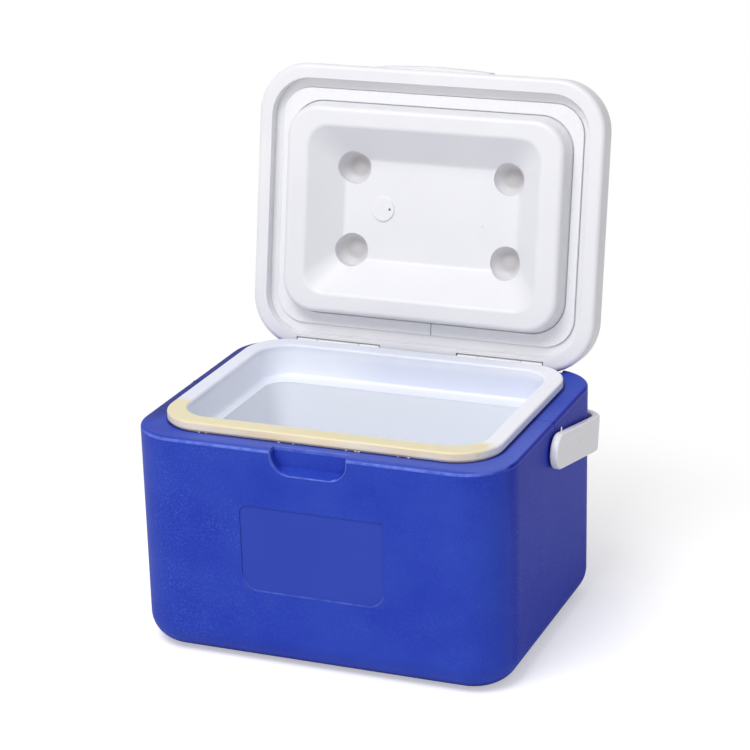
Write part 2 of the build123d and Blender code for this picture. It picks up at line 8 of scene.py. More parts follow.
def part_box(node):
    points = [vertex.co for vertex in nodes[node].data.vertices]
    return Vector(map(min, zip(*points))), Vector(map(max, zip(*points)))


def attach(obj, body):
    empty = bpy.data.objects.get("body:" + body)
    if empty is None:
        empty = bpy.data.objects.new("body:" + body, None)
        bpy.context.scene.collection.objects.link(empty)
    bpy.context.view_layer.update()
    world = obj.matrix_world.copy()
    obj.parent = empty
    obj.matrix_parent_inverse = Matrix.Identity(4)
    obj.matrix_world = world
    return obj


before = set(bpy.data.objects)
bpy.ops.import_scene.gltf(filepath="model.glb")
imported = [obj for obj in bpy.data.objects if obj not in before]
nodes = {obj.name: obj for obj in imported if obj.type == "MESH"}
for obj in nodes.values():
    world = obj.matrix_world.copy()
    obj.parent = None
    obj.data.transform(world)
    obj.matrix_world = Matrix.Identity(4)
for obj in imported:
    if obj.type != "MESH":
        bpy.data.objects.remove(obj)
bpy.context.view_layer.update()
mm = 0.001
print("Frame loaded with", len(nodes), "nodes")


# The lid rests open: lidTurn takes a point from the shut lid to the open one.
lidHinge = Vector((0, 140.1, 229.7)) * mm
lidOpenAngle = math.radians(99.85)
lidTurn = (Matrix.Translation(lidHinge) @ Matrix.Rotation(-lidOpenAngle, 4, "X")
           @ Matrix.Translation(-lidHinge))


# Shader and geometry trees are built with these two.
def linearColour(hexText):
    channels = [int(hexText[i:i + 2], 16) / 255 for i in (0, 2, 4)]
    return [c / 12.92 if c <= 0.04045 else ((c + 0.055) / 1.055) ** 2.4 for c in channels] + [1.0]


def addNode(tree, kind, settings=None, links=None):
    # a setting is a socket, by name or number, or else a property; a text for a socket is a hex colour
    node = tree.nodes.new(kind)
    for name, value in (settings or {}).items():
        if isinstance(name, int) or name in node.inputs:
            node.inputs[name].default_value = linearColour(value) if isinstance(value, str) else value
        else:
            setattr(node, name, value)
    for socket, source in (links or {}).items():
        tree.links.new(source, node.inputs[socket])
    return node


def newMaterial(name, look):
    material = bpy.data.materials.new(name)
    material.use_nodes = True
    tree = material.node_tree
    shader = tree.nodes["Principled BSDF"]
    shader.inputs["Base Color"].default_value = linearColour(look["colour"])
    shader.inputs["Roughness"].default_value = look["roughness"]
    shader.inputs["IOR"].default_value = look["ior"]
    place = addNode(tree, "ShaderNodeTexCoord").outputs["Object"]
    return material, tree, shader, place


def grainySurface(tree, shader, height, look):
    # grain as bump over a softened edge, as no moulded edge is knife-sharp; it is drawn coarser than
    # the real grain where that would be too fine to show
    edge = addNode(tree, "ShaderNodeBevel", {"samples": 4, "Radius": look["edgeMm"] * mm})
    bump = addNode(tree, "ShaderNodeBump", {"Distance": look["grainDepthMm"] * mm, "Strength": 1.0},
                   {"Height": height, "Normal": edge.outputs[0]})
    tree.links.new(bump.outputs[0], shader.inputs["Normal"])


# This one lays coats of colour over a finish's own. A mask is a ramp, given as what it follows,
# where it starts and ends and its strengths there, or a list of groups: each group is the product
# of its masks, and the strongest group counts. A coat is a colour and the mask that lets it show.
def layCoats(tree, look, masks):
    for name, recipe in look["masks"].items():
        if isinstance(recipe, tuple):
            follows, start, end, low, high = recipe
            masks[name] = addNode(tree, "ShaderNodeMapRange", {1: start, 2: end, 3: low, 4: high},
                                  {0: masks[follows]}).outputs[0]
            continue
        products = []
        for first, *others in recipe:
            product = masks[first]
            for other in others:
                product = addNode(tree, "ShaderNodeMath", {"operation": "MULTIPLY"},
                                  {0: product, 1: masks[other]}).outputs[0]
            products.append(product)
        masks[name] = products[0]
        for product in products[1:]:
            masks[name] = addNode(tree, "ShaderNodeMath", {"operation": "MAXIMUM"},
                                  {0: masks[name], 1: product}).outputs[0]
    under = {}
    for coat, mask in look["coats"]:
        mixed = addNode(tree, "ShaderNodeMix", {"data_type": "RGBA", 6: look["colour"], 7: look[coat]},
                        {0: masks[mask], **under})
        under = {6: mixed.outputs[2]}
    return mixed.outputs[2]


def beyondMiddles(tree, placeMm, middles):
    # how far a point lies outside the box through the middles of the rounded corners
    beyond = addNode(tree, "ShaderNodeVectorMath", {"operation": "ABSOLUTE"}, {0: placeMm}).outputs[0]
    beyond = addNode(tree, "ShaderNodeVectorMath", {"operation": "SUBTRACT", 1: middles},
                     {0: beyond}).outputs[0]
    beyond = addNode(tree, "ShaderNodeVectorMath", {"operation": "MAXIMUM", 1: (0, 0, 0)},
                     {0: beyond}).outputs[0]
    return addNode(tree, "ShaderNodeVectorMath", {"operation": "LENGTH"}, {0: beyond}).outputs["Value"]


def fromLowerEdge(tree, aside, z, half, level, radius):
    # how far a point of the front lies from the sides and the round lower corners of a hollow
    beyond = addNode(tree, "ShaderNodeCombineXYZ", None, {0: aside, 1: z}).outputs[0]
    beyond = addNode(tree, "ShaderNodeVectorMath", {"operation": "SUBTRACT", 1: (half, level, 0)},
                     {0: beyond}).outputs[0]
    beyond = addNode(tree, "ShaderNodeVectorMath", {"operation": "MULTIPLY", 1: (1, -1, 0)},
                     {0: beyond}).outputs[0]
    beyond = addNode(tree, "ShaderNodeVectorMath", {"operation": "MAXIMUM", 1: (0, 0, 0)},
                     {0: beyond}).outputs[0]
    reach = addNode(tree, "ShaderNodeVectorMath", {"operation": "LENGTH"}, {0: beyond}).outputs["Value"]
    reach = addNode(tree, "ShaderNodeMath", {"operation": "SUBTRACT", 1: radius}, {0: reach}).outputs[0]
    return addNode(tree, "ShaderNodeMath", {"operation": "ABSOLUTE"}, {0: reach}).outputs[0]


# Sizes of the body in mm, from its middle and the floor, that the blue finish follows.
flange = 224.0
endWall = 189.0
frontFace = -147.5
rimCorner = 45.0
panelMiddleX = 0.25
panelMiddleZ = 121.75
panelHalfX = 72.25
panelHalfZ = 43.25
panelCorner = 17.0
recessHalf = 19.5
recessLevel = 219.5
recessCorner = 19.0
recessWide = recessHalf + recessCorner
recessBack = -139.5
highlightWidth = 0.7

# HDPE, injection moulded in a spark-textured mould: a fine sandy grain that breaks the highlight
# into specks, and pigment that clouds a little. Painted highlights run along the edges, with a painted
# sheen on the flange, painted shade on the end walls, the right brow and in the hollows, and painted
# shadow at the flange's left end and under the liner's rim. The label panel is polished.
blueShell = {
    "colour": "223cb1", "cloud": "2a45b6", "speck": "4f66cc", "wall": "001bac", "panel": "3248b0",
    "flangeSheen": "5568c8", "paintedHighlight": "6e84e4", "rightEndShade": "000ca0", "leftEndShadow": "17206e", "hollowShade": "0c187c",
    "hollowMm": 22, "grainDepthMm": 0.06, "roughness": 0.5, "roughnessSpread": 0.08, "specular": 0.14,
    "ior": 1.54, "edgeMm": 0.8, "rimMiddlesMm": (125, 85, 400),
    # each noise has a size in mm and a detail, and the masks' places are in mm
    "noises": {"clouds": (60, 3.0), "grain": (1.6, 3.0), "patches": (34, 2.0), "breakupNoise": (9, 3.0)},
    "masks": {
        "cloudy": ("clouds", 0.35, 0.65, 0, 1),
        # painted shade: the end walls are painted a deeper blue
        "endWall": ("aside", endWall - 2.5, endWall, 0, 0.75),
        "front": ("y", frontFace + 1, frontFace, 0, 1),
        "panelWide": ("fromPanelX", panelHalfX + 1, panelHalfX - 1, 0, 1),
        "panelTall": ("fromPanelZ", panelHalfZ + 1, panelHalfZ - 1, 0, 1),
        "onPanel": [("panelWide", "panelTall", "front")],
        "panelTint": ("onPanel", 0, 1, 0, 0.7),
        "offPanel": ("onPanel", 0, 1, 1, 0.1),
        # grain: more in patches, on the end walls and towards the left of the front
        "grainPeaks": ("grain", 0.51, 0.73, 0, 1),
        "patch": ("patches", 0.38, 0.62, 0.4, 0.65),
        "wallGrain": ("aside", endWall - 2.5, endWall, 0, 1.4),
        "leftGrain": ("x", -30, -110, 0.45, 1),
        "coarser": [("wallGrain",), ("leftGrain",)],
        "specks": [("grainPeaks", "patch", "coarser", "offPanel")],
        # painted sheen: the flange is painted pale, least at the rear and at the left end
        "flangeTop": ("z", flange - 1, flange, 0, 1),
        "rearward": ("y", 60, -60, 0.15, 0.8),
        "rightward": ("x", -155, -112, 0, 1),
        "offEdge": ("y", frontFace, frontFace + 5.5, 0.35, 1),
        "sheenOnFlange": [("flangeTop", "rearward", "rightward", "offEdge")],
        # painted shadow: the left end of the flange is painted dark
        "atLeftEnd": ("x", -170, -176, 0, 0.75),
        "leftRear": ("y", -125, -85, 0, 1),
        "shadowedLeftEnd": [("atLeftEnd", "flangeTop", "leftRear")],
        # painted highlights, broken up by noise: the brow, the finger recess, the flange behind it and
        # the panel's lower lip
        "browLow": ("z", flange - 3.0, flange - 2.2, 0, 1),
        "browHigh": ("z", flange + 0.3, flange - 0.3, 0, 1),
        "atFront": ("y", -134, -146, 0.12, 0.85),
        "recessLine": ("fromRecess", highlightWidth, highlightWidth / 2, 0, 1),
        "backLine": ("fromRecessBack", highlightWidth, highlightWidth / 2, 0, 1),
        "backTop": ("z", flange + 0.2, flange + 0.6, 0, 1),
        "backWide": ("aside", recessWide + 1, recessWide, 0, 1),
        "lipLine": ("fromPanelLip", 0.9, 0.3, 0, 0.5),
        "lipLow": ("z", 95, 82, 0, 1),
        "highlightLines": [("browLow", "browHigh", "atFront"), ("recessLine", "front"),
                   ("backLine", "backTop", "backWide"), ("lipLine", "lipLow", "front")],
        "highlightBreakup": ("breakupNoise", 0.36, 0.6, 0.45, 1),
        "brokenHighlights": [("highlightLines", "highlightBreakup")],
        # painted shade: the right end's brow and the top of its wall are painted deep blue, over a fine
        # painted highlight
        "atRight": ("x", 184, 187, 0, 0.92),
        "glintLow": ("z", flange - 3.4, flange - 2.8, 0, 1),
        "glintHigh": ("z", flange - 1.8, flange - 2.4, 0, 0.4),
        "glint": [("glintLow", "glintHigh", "atRight")],
        "deepLow": ("z", flange - 2.2, flange - 1.4, 0, 1),
        "deepHigh": ("z", flange + 0.95, flange + 0.6, 0, 1),
        "wallTop": ("z", 150, 218, 0, 0.4),
        "deep": [("deepLow",), ("wallTop",)],
        "shadedRightEnd": [("deep", "deepHigh", "atRight")],
        # painted shade in the hollows, and a painted shadow in the gap where the liner's rim sits on the
        # flange
        "hollows": ("openness", 0.6, 0.15, 0, 0.8),
        "gap": ("beyondRim", rimCorner + 2.4, rimCorner + 0.8, 0, 0.8),
        "shadeInHollows": [("hollows",), ("gap", "flangeTop")]},
    "coats": (("cloud", "cloudy"), ("wall", "endWall"), ("speck", "specks"), ("flangeSheen", "sheenOnFlange"),
              ("leftEndShadow", "shadowedLeftEnd"), ("panel", "panelTint"), ("paintedHighlight", "brokenHighlights"),
              ("paintedHighlight", "glint"), ("rightEndShade", "shadedRightEnd"), ("hollowShade", "shadeInHollows"))}


def mouldedBlueHdpe(look=blueShell):
    material, tree, shader, place = newMaterial("mouldedBlueHdpe", look)
    shader.inputs["Specular IOR Level"].default_value = look["specular"]
    masks = {}
    for name, (size, detail) in look["noises"].items():
        masks[name] = addNode(tree, "ShaderNodeTexNoise", {"Scale": 1 / (size * mm), "Detail": detail},
                              {"Vector": place}).outputs[0]
    placeMm = addNode(tree, "ShaderNodeVectorMath", {"operation": "SCALE", "Scale": 1 / mm},
                      {0: place}).outputs[0]
    masks["x"], masks["y"], masks["z"] = addNode(tree, "ShaderNodeSeparateXYZ", None, {0: placeMm}).outputs
    # distances from the middles of the body and the panel, and from the recess's rear edge
    planes = {"aside": ("x", 0.0), "fromPanelX": ("x", panelMiddleX), "fromPanelZ": ("z", panelMiddleZ),
              "fromRecessBack": ("y", recessBack)}
    for name, (axis, middle) in planes.items():
        offset = addNode(tree, "ShaderNodeMath", {"operation": "SUBTRACT", 1: middle},
                         {0: masks[axis]}).outputs[0]
        masks[name] = addNode(tree, "ShaderNodeMath", {"operation": "ABSOLUTE"}, {0: offset}).outputs[0]
    masks["fromRecess"] = fromLowerEdge(tree, masks["aside"], masks["z"], recessHalf, recessLevel,
                                        recessCorner)
    masks["fromPanelLip"] = fromLowerEdge(tree, masks["fromPanelX"], masks["z"], panelHalfX - panelCorner,
                                          panelMiddleZ - panelHalfZ + panelCorner, panelCorner)
    masks["beyondRim"] = beyondMiddles(tree, placeMm, look["rimMiddlesMm"])
    masks["openness"] = addNode(tree, "ShaderNodeAmbientOcclusion",
                                {"samples": 8, "Distance": look["hollowMm"] * mm}).outputs["AO"]
    tree.links.new(layCoats(tree, look, masks), shader.inputs["Base Color"])
    spread = look["roughnessSpread"]
    rough = addNode(tree, "ShaderNodeMapRange",
                    {1: 0.3, 2: 0.7, 3: look["roughness"] - spread, 4: look["roughness"] + spread},
                    {0: masks["grain"]}).outputs[0]
    tree.links.new(rough, shader.inputs["Roughness"])
    grainySurface(tree, shader, masks["grain"], look)
    return material


# White HDPE, moulded in a fine satin mould: a soft broad sheen and barely any grain. The hollows are
# painted darker as painted shade; in the lid's underside only the four round pockets.
pocketRadius = 18.0
whiteShell = {"colour": "eeeef1", "cloud": "e8e8ed", "hollowShade": "b4b2b3", "hollowMm": 24, "cloudMm": 80,
              "grainMm": 1.5, "grainDepthMm": 0.012, "roughness": 0.4, "ior": 1.54, "edgeMm": 0.7,
              "masks": {"cloudy": ("clouds", 0.3, 0.7, 0, 1), "dustAndShade": ("openness", 0.5, 0.1, 0, 0.8)},
              "coats": (("cloud", "cloudy"), ("hollowShade", "dustAndShade"))}
whiteLiner = dict(whiteShell, colour="ececf0", hollowShade="8f8684", hollowMm=30, pocketMm=(83.5, 42.5, 0),
                  masks={"cloudy": ("clouds", 0.3, 0.7, 0, 1), "shaded": ("openness", 0.85, 0.4, 0, 0.8),
                         "inPocket": ("fromPocket", pocketRadius, pocketRadius / 2, 0, 1),
                         "dustAndShade": [("shaded", "inPocket")]})


def satinWhiteHdpe(name, look):
    material, tree, shader, place = newMaterial(name, look)
    masks = {}
    masks["clouds"] = addNode(tree, "ShaderNodeTexNoise",
                              {"Scale": 1 / (look["cloudMm"] * mm), "Detail": 2.0},
                              {"Vector": place}).outputs[0]
    masks["openness"] = addNode(tree, "ShaderNodeAmbientOcclusion",
                                {"samples": 8, "Distance": look["hollowMm"] * mm}).outputs["AO"]
    if "pocketMm" in look:
        # the open lid's points are turned back to the shut lid, and folded onto one pocket
        shut = lidTurn.inverted()
        flat = addNode(tree, "ShaderNodeMapping",
                       {"Location": shut.to_translation(), "Rotation": shut.to_euler()},
                       {"Vector": place}).outputs[0]
        flat = addNode(tree, "ShaderNodeVectorMath", {"operation": "ABSOLUTE"}, {0: flat}).outputs[0]
        flatMm = addNode(tree, "ShaderNodeVectorMath", {"operation": "MULTIPLY", 1: (1 / mm, 1 / mm, 0)},
                         {0: flat}).outputs[0]
        masks["fromPocket"] = addNode(tree, "ShaderNodeVectorMath",
                                      {"operation": "DISTANCE", 1: look["pocketMm"]},
                                      {0: flatMm}).outputs["Value"]
    tree.links.new(layCoats(tree, look, masks), shader.inputs["Base Color"])
    grain = addNode(tree, "ShaderNodeTexNoise", {"Scale": 1 / (look["grainMm"] * mm), "Detail": 2.0},
                    {"Vector": place}).outputs[0]
    grainySurface(tree, shader, grain, look)
    return material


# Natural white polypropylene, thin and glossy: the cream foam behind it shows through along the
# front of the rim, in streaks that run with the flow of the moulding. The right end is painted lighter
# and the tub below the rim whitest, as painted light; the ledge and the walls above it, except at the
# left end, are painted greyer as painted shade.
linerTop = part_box("liner")[1].z / mm
ledge = linerTop - 33.5
mouthCorner = 33.0
linerLook = {
    "colour": "ebeefb", "shade": "e6eaf8", "bright": "f8f8ff", "inside": "f5f8ff", "ledge": "f1f4fe",
    "upper": "e3e8f8", "foamTint": "fbe7bd", "foamPale": "fff4de", "foamTop": "e8ddb2", "foamSlant": 0.07,
    "mouthMiddlesMm": (120, 78, 400), "shadeMm": 70, "streakMm": 7, "streakLength": 9, "grainMm": 9,
    "grainDepthMm": 0.04, "roughness": 0.42, "ior": 1.49, "edgeMm": 0.5,
    "masks": {
        "cloudy": ("clouds", 0.35, 0.65, 0, 1),
        # painted light and shade: the right end lighter, the tub whiter, the ledge and the walls above it
        # greyer
        "towardsRight": ("x", 70, 150, 0, 1),
        "deepDown": ("z", linerTop - 4, linerTop - 12, 0, 1),
        "within": ("beyondMouth", mouthCorner + 1, mouthCorner, 0, 1),
        "inTub": [("deepDown", "within")],
        "fromLedge": ("z", ledge - 3, ledge - 1, 0, 1),
        "ledgeUp": [("fromLedge", "inTub")],
        "fromWalls": ("z", ledge + 1, ledge + 3, 0, 1),
        "notLeft": ("x", -120, -20, -0.6, 1),
        "upperWalls": [("fromWalls", "inTub", "notLeft")],
        # the foam shows on the front of the rim and round its two front corners
        "streak": ("streaks", 0.38, 0.62, 0, 1),
        "topBand": ("z", linerTop - 2.6, linerTop - 0.6, 0, 0.85),
        "atFront": ("slanted", -79, -90, 0, 0.95),
        "leftOfEnd": ("x", 171, 158, 0, 1),
        "onRim": ("beyondMouth", mouthCorner + 0.4, mouthCorner + 1.2, 0, 1),
        "foamShows": [("atFront", "leftOfEnd", "onRim")]},
    "coats": (("shade", "cloudy"), ("bright", "towardsRight"), ("inside", "inTub"), ("ledge", "ledgeUp"),
              ("upper", "upperWalls"))}


def glossyWhitePolypropylene(look=linerLook):
    material, tree, shader, place = newMaterial("glossyWhitePolypropylene", look)
    masks = {}
    masks["clouds"] = addNode(tree, "ShaderNodeTexNoise",
                              {"Scale": 1 / (look["shadeMm"] * mm), "Detail": 2.0},
                              {"Vector": place}).outputs[0]
    flow = addNode(tree, "ShaderNodeMapping", {"Scale": (1 / look["streakLength"], 1, 1)},
                   {"Vector": place}).outputs[0]
    masks["streaks"] = addNode(tree, "ShaderNodeTexNoise",
                               {"Scale": 1 / (look["streakMm"] * mm), "Detail": 3.0},
                               {"Vector": flow}).outputs[0]
    placeMm = addNode(tree, "ShaderNodeVectorMath", {"operation": "SCALE", "Scale": 1 / mm},
                      {0: place}).outputs[0]
    masks["x"], masks["y"], masks["z"] = addNode(tree, "ShaderNodeSeparateXYZ", None, {0: placeMm}).outputs
    # the foam shows further back towards the left end
    masks["slanted"] = addNode(tree, "ShaderNodeMath", {"operation": "MULTIPLY_ADD", 1: look["foamSlant"]},
                               {0: masks["x"], 2: masks["y"]}).outputs[0]
    masks["beyondMouth"] = beyondMiddles(tree, placeMm, look["mouthMiddlesMm"])
    colour = layCoats(tree, look, masks)
    tint = addNode(tree, "ShaderNodeMix", {"data_type": "RGBA", 6: look["foamPale"], 7: look["foamTint"]},
                   {0: masks["streak"]}).outputs[2]
    tint = addNode(tree, "ShaderNodeMix", {"data_type": "RGBA", 7: look["foamTop"]},
                   {0: masks["topBand"], 6: tint}).outputs[2]
    colour = addNode(tree, "ShaderNodeMix", {"data_type": "RGBA"},
                     {0: masks["foamShows"], 6: colour, 7: tint}).outputs[2]
    tree.links.new(colour, shader.inputs["Base Color"])
    ripple = addNode(tree, "ShaderNodeTexNoise", {"Scale": 1 / (look["grainMm"] * mm), "Detail": 1.0},
                     {"Vector": place}).outputs[0]
    grainySurface(tree, shader, ripple, look)
    return material


# White polypropylene with a light draw-polish: satin, with faint handling scuffs.
handleLook = {"colour": "f4f3f7", "scuff": "e6e5ea", "scuffMm": 5, "scuffLength": 6, "scuffShare": 0.5,
              "grainMm": 1.6, "grainDepthMm": 0.015, "roughness": 0.36, "scuffedRoughness": 0.48, "ior": 1.49,
              "edgeMm": 0.8}


def satinPolypropylene(look=handleLook):
    material, tree, shader, place = newMaterial("satinPolypropylene", look)
    along = addNode(tree, "ShaderNodeMapping", {"Scale": (1, 1 / look["scuffLength"], 1)},
                    {"Vector": place}).outputs[0]
    scuff = addNode(tree, "ShaderNodeTexNoise", {"Scale": 1 / (look["scuffMm"] * mm), "Detail": 4.0},
                    {"Vector": along}).outputs[0]
    scuff = addNode(tree, "ShaderNodeMapRange", {1: 0.55, 2: 0.8, 4: look["scuffShare"]},
                    {0: scuff}).outputs[0]
    colour = addNode(tree, "ShaderNodeMix", {"data_type": "RGBA", 6: look["colour"], 7: look["scuff"]},
                     {0: scuff}).outputs[2]
    tree.links.new(colour, shader.inputs["Base Color"])
    rough = addNode(tree, "ShaderNodeMapRange",
                    {2: look["scuffShare"], 3: look["roughness"], 4: look["scuffedRoughness"]},
                    {0: scuff}).outputs[0]
    tree.links.new(rough, shader.inputs["Roughness"])
    grain = addNode(tree, "ShaderNodeTexNoise", {"Scale": 1 / (look["grainMm"] * mm), "Detail": 2.0},
                    {"Vector": place}).outputs[0]
    grainySurface(tree, shader, grain, look)
    return material


# Rigid polyurethane foam: a cream skin over fine cells, drawn coarser than real ones so that they show.
foamLook = {"colour": "e8d7a8", "cellWall": "efe2bb", "cellPit": "d9c48c", "cellMm": 1.1, "wallReach": 0.6,
            "pitDepthMm": 0.3, "roughness": 0.85, "ior": 1.45}


def polyurethaneFoam(look=foamLook):
    material, tree, shader, place = newMaterial("polyurethaneFoam", look)
    cells = addNode(tree, "ShaderNodeTexVoronoi", {"Scale": 1 / (look["cellMm"] * mm)},
                    {"Vector": place}).outputs["Distance"]
    pale = addNode(tree, "ShaderNodeMapRange", {2: look["wallReach"]}, {0: cells}).outputs[0]
    colour = addNode(tree, "ShaderNodeMix", {"data_type": "RGBA", 6: look["cellPit"], 7: look["cellWall"]},
                     {0: pale}).outputs[2]
    tree.links.new(colour, shader.inputs["Base Color"])
    bump = addNode(tree, "ShaderNodeBump", {"Distance": look["pitDepthMm"] * mm, "Strength": 1.0},
                   {"Height": cells})
    tree.links.new(bump.outputs[0], shader.inputs["Normal"])
    return material


# White thermoplastic elastomer strip: matt, picks up dust, and its two ends butt together at the
# hinge side in a fine dark line.
sealLook = {"colour": "f0f0f3", "dustAndShade": "e2e2e5", "joint": "a5a4a8", "dustMm": 3, "dustShare": 0.4,
            "jointXMm": 10, "jointWidthMm": 0.8, "jointBelowMm": 330, "grainMm": 1.5, "grainDepthMm": 0.03,
            "roughness": 0.62, "ior": 1.5, "edgeMm": 0.5}


def softElastomer(look=sealLook):
    material, tree, shader, place = newMaterial("softElastomer", look)
    dustAndShade = addNode(tree, "ShaderNodeTexNoise", {"Scale": 1 / (look["dustMm"] * mm), "Detail": 4.0},
                   {"Vector": place}).outputs[0]
    dustAndShade = addNode(tree, "ShaderNodeMapRange", {1: 0.5, 2: 0.75, 4: look["dustShare"]}, {0: dustAndShade}).outputs[0]
    colour = addNode(tree, "ShaderNodeMix", {"data_type": "RGBA", 6: look["colour"], 7: look["dustAndShade"]},
                     {0: dustAndShade}).outputs[2]
    # the joint is the part of a line across the strip that lies below a level
    axes = addNode(tree, "ShaderNodeSeparateXYZ", None, {0: place}).outputs
    aside = addNode(tree, "ShaderNodeMath", {"operation": "SUBTRACT", 1: look["jointXMm"] * mm},
                    {0: axes["X"]}).outputs[0]
    aside = addNode(tree, "ShaderNodeMath", {"operation": "ABSOLUTE"}, {0: aside}).outputs[0]
    joint = addNode(tree, "ShaderNodeMapRange",
                    {1: look["jointWidthMm"] * mm, 2: look["jointWidthMm"] / 2 * mm},
                    {0: aside}).outputs[0]
    rear = addNode(tree, "ShaderNodeMath", {"operation": "LESS_THAN", 1: look["jointBelowMm"] * mm},
                   {0: axes["Z"]}).outputs[0]
    joint = addNode(tree, "ShaderNodeMath", {"operation": "MULTIPLY"}, {0: joint, 1: rear}).outputs[0]
    colour = addNode(tree, "ShaderNodeMix", {"data_type": "RGBA", 7: look["joint"]},
                     {0: joint, 6: colour}).outputs[2]
    tree.links.new(colour, shader.inputs["Base Color"])
    grain = addNode(tree, "ShaderNodeTexNoise", {"Scale": 1 / (look["grainMm"] * mm), "Detail": 2.0},
                    {"Vector": place}).outputs[0]
    grainySurface(tree, shader, grain, look)
    return material


# Stainless steel, turned and left bright: fine rings round the axis along X.
steelLook = {"colour": "b8bbbf", "ringMm": 0.6, "ringLength": 12, "grainDepthMm": 0.01, "roughness": 0.28,
             "smoothest": 0.2, "roughest": 0.4, "ior": 1.5, "edgeMm": 0.2}


def turnedStainless(look=steelLook):
    material, tree, shader, place = newMaterial("turnedStainless", look)
    shader.inputs["Metallic"].default_value = 1.0
    across = 1 / look["ringLength"]
    around = addNode(tree, "ShaderNodeMapping", {"Scale": (1, across, across)}, {"Vector": place}).outputs[0]
    rings = addNode(tree, "ShaderNodeTexNoise", {"Scale": 1 / (look["ringMm"] * mm), "Detail": 2.0},
                    {"Vector": around}).outputs[0]
    rough = addNode(tree, "ShaderNodeMapRange", {1: 0.3, 2: 0.7, 3: look["smoothest"], 4: look["roughest"]},
                    {0: rings}).outputs[0]
    tree.links.new(rough, shader.inputs["Roughness"])
    grainySurface(tree, shader, rings, look)
    return material


# Natural acetal, machined: slightly waxy off-white, with faint turning lines round X.
acetalLook = {"colour": "e9e8e2", "lineMm": 1.2, "lineLength": 8, "grainDepthMm": 0.01, "roughness": 0.34,
              "ior": 1.48, "edgeMm": 0.3}


def naturalAcetal(look=acetalLook):
    material, tree, shader, place = newMaterial("naturalAcetal", look)
    across = 1 / look["lineLength"]
    around = addNode(tree, "ShaderNodeMapping", {"Scale": (1, across, across)}, {"Vector": place}).outputs[0]
    lines = addNode(tree, "ShaderNodeTexNoise", {"Scale": 1 / (look["lineMm"] * mm), "Detail": 2.0},
                    {"Vector": around}).outputs[0]
    grainySurface(tree, shader, lines, look)
    return material


blue = mouldedBlueHdpe()
white = satinWhiteHdpe("satinWhiteHdpe", whiteShell)
whiteInner = satinWhiteHdpe("satinWhiteHdpeLiner", whiteLiner)
linerWhite = glossyWhitePolypropylene()
handleWhite = satinPolypropylene()
foam = polyurethaneFoam()
sealWhite = softElastomer()
steel = turnedStainless()
acetal = naturalAcetal()

finishOf = {"body_shell": blue, "base_fill_cap": blue, "body_foam": foam, "lid_foam": foam,
            "liner": linerWhite, "lid_shell": white, "lid_liner": whiteInner, "lid_fill_cap": white,
            "lid_seal": sealWhite, "carry_handle": handleWhite}
for side in ("left", "right"):
    finishOf["hinge_bracket_" + side] = handleWhite
    finishOf["hinge_knuckle_" + side] = handleWhite
    finishOf["pivot_bush_" + side] = acetal
    for part in ("bracket_screws_", "knuckle_screws_", "hinge_pin_", "handle_pin_", "pin_clip_"):
        finishOf[part + side] = steel
for name, finish in finishOf.items():
    nodes[name].data.materials.clear()
    nodes[name].data.materials.append(finish)
print("Finishes set on", len(finishOf), "nodes")


# Geometry trees: named sizes go in, and a plain mesh on its body comes out.
def startTree(name, sizes):
    tree = bpy.data.node_groups.new(name, "GeometryNodeTree")
    tree.interface.new_socket("Geometry", in_out="INPUT", socket_type="NodeSocketGeometry")
    for label, value in sizes.items():
        kind = "NodeSocketInt" if isinstance(value, int) else "NodeSocketFloat"
        tree.interface.new_socket(label, in_out="INPUT", socket_type=kind)
    tree.interface.new_socket("Geometry", in_out="OUTPUT", socket_type="NodeSocketGeometry")
    return tree, addNode(tree, "NodeGroupInput").outputs


def endTree(tree, geometry, finish):
    real = addNode(tree, "GeometryNodeRealizeInstances", None, {"Geometry": geometry})
    painted = addNode(tree, "GeometryNodeSetMaterial", {"Material": finish}, {"Geometry": real.outputs[0]})
    addNode(tree, "NodeGroupOutput", None, {"Geometry": painted.outputs[0]})


def meshPiece(name, mesh, body):
    piece = bpy.data.objects.new(name, mesh)
    bpy.context.scene.collection.objects.link(piece)
    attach(piece, body)


def growAlong(name, paths, tree, sizes, body):
    # paths are open lists of points in metres
    points, edges = [], []
    for path in paths:
        edges += [(i, i + 1) for i in range(len(points), len(points) + len(path) - 1)]
        points += path
    mesh = bpy.data.meshes.new(name + "Path")
    mesh.from_pydata(points, edges, [])
    source = bpy.data.objects.new(name + "Path", mesh)
    bpy.context.scene.collection.objects.link(source)
    modifier = source.modifiers.new("grow", "NODES")
    modifier.node_group = tree
    for item in tree.interface.items_tree:
        if item.in_out == "INPUT" and item.name in sizes:
            modifier[item.identifier] = sizes[item.name]
    grown = bpy.data.meshes.new_from_object(source.evaluated_get(bpy.context.evaluated_depsgraph_get()))
    bpy.data.objects.remove(source)
    meshPiece(name, grown, body)


def turnedPiece(name, profileMm, place, direction, finish, body):
    # profileMm runs from the buried end to the tip as (radius, height); the tip radius is 0
    segments = 20
    mesh = bpy.data.meshes.new(name)
    solid = bmesh.new()
    aim = Vector((0, 0, 1)).rotation_difference(Vector(direction)).to_matrix()
    rings = []
    for radius, height in profileMm:
        turns = [2 * math.pi * i / segments for i in range(segments)] if radius else [0]
        spots = [Vector((radius * math.cos(t), radius * math.sin(t), height)) * mm for t in turns]
        rings.append([solid.verts.new(aim @ spot + place) for spot in spots])
    solid.faces.new(list(reversed(rings[0])))
    for low, high in zip(rings, rings[1:]):
        for i in range(segments):
            j = (i + 1) % segments
            upper = [high[0]] if len(high) == 1 else [high[j], high[i]]
            solid.faces.new([low[i], low[j]] + upper)
    for face in solid.faces:
        face.smooth = True
    solid.to_mesh(mesh)
    solid.free()
    mesh.materials.append(finish)
    meshPiece(name, mesh, body)


# The mould's parting line: a fine raised ridge across the flange at both ends and over the brow.
# The ridge's radius is in metres and the rest in mm.
seam = {"y": 3.0, "ridgeRadius": 0.00045, "ridgeSides": 10, "flangeFrom": 168.3, "wall": 190.0, "top": 225.0,
        "brow": 3.0, "browSteps": 6, "downTo": 217.0}


